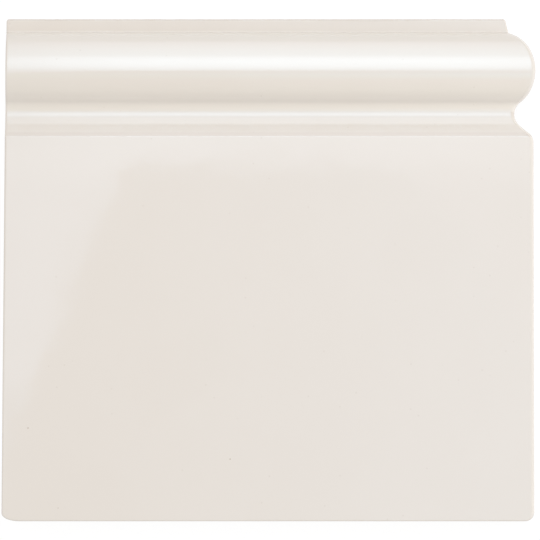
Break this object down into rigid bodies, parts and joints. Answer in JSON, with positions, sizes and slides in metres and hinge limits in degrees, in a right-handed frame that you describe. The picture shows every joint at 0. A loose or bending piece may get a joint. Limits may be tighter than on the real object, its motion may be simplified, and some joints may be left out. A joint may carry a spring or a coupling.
{
  "type": "skirting corner tile",
  "caption": "Glazed ceramic skirting tile for an outside corner: a plain face under a bead and cove moulding that turns round one exposed end.",
  "frame": {"origin": "middle of the tile's bounding box, on the plane of its back", "axes": "+X along the skirting towards the exposed end, +Y up the wall towards the moulding, +Z out of the wall; the tile lies on its back"},
  "size_m": [0.1618, 0.152, 0.016],
  "materials": {
    "ivory_glaze": "glossy ivory glaze on the front and the edges, bare fired clay on the back"
  },
  "bodies": {
    "root": {"skirting_corner_tile": "ivory_glaze"}
  },
  "joints": []
}
